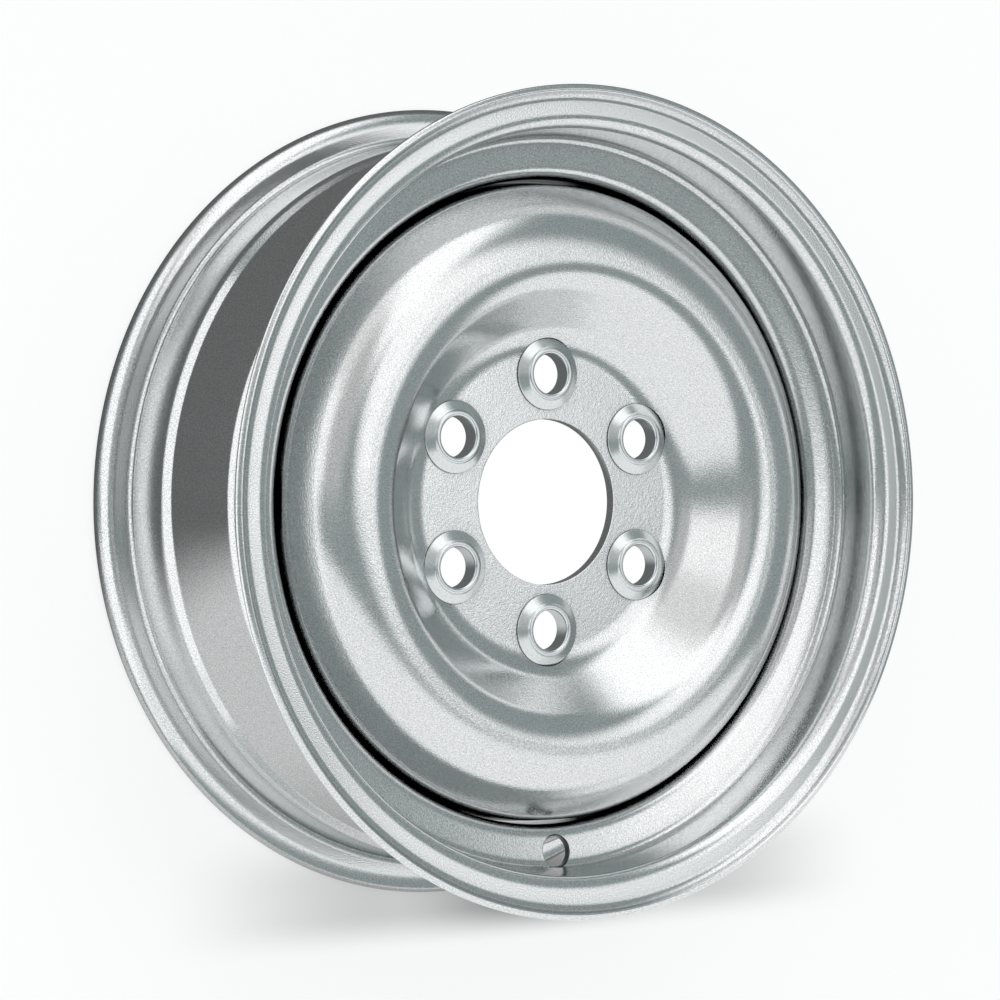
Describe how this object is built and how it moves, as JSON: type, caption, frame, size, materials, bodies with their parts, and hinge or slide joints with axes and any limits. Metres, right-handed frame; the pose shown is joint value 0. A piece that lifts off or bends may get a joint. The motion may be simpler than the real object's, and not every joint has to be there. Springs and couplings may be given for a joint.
{
  "type": "steel wheel rim",
  "caption": "Welded steel wheel: drop-centre rim with curled flanges, crowned disc with a flat hub pad, centre bore, raised lug seats and a valve hole.",
  "frame": {"origin": "centre of the bore at the disc's hub face", "axes": "+Z along the wheel's axis towards the outboard face, +Y to the lug at twelve o'clock, with the valve hole at -Y"},
  "size_m": [0.4147, 0.4148, 0.1432],
  "materials": {
    "rim_coat": "silver metallic coat on rolled steel, satin, fine flake",
    "disc_coat": "silver metallic coat on pressed steel, satin, fine flake, light orange peel on the pad",
    "seat_coat": "silver metallic coat on turned steel, smooth and brighter than the disc",
    "weld_coat": "silver metallic coat over rippled weld beads"
  },
  "bodies": {
    "root": {"rim": "rim_coat", "disc": "disc_coat", "lug_seat_1": "seat_coat", "lug_seat_2": "seat_coat", "lug_seat_3": "seat_coat", "lug_seat_4": "seat_coat", "lug_seat_5": "seat_coat", "lug_seat_6": "seat_coat", "weld_1": "weld_coat", "weld_2": "weld_coat", "weld_3": "weld_coat", "weld_4": "weld_coat"}
  },
  "joints": []
}
